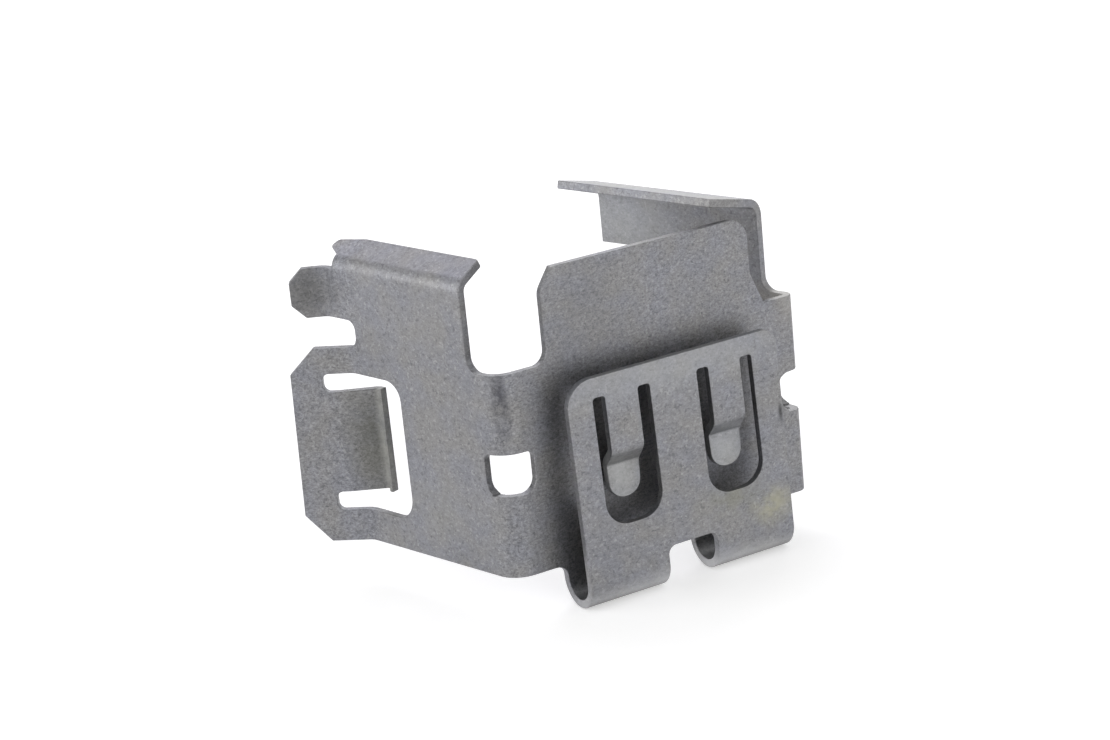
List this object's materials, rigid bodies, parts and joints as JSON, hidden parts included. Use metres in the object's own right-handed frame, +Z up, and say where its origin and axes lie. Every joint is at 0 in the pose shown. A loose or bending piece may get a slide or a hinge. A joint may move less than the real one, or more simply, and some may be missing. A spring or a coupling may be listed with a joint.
{
  "type": "stamped sheet-metal clip bracket",
  "caption": "Folded sheet-steel clip bracket: a panel with a hemmed spring-tongue clip plate, a flanged wall with a slotted side frame, and a flanged wing.",
  "frame": {"origin": "on the panel's outer face, midway across the clip plate and level with the panel's lower edge, at the foot of the clip pocket", "axes": "+X along the panel from the left wall to the right wing, +Y inward from the panel's outer face, +Z up along the wall folds and out of the clip pocket's mouth"},
  "size_m": [0.0481, 0.0308, 0.0384],
  "materials": {
    "zinc_steel": "matt speckled zinc coating"
  },
  "bodies": {
    "root": {"bracket": "zinc_steel"}
  },
  "joints": []
}
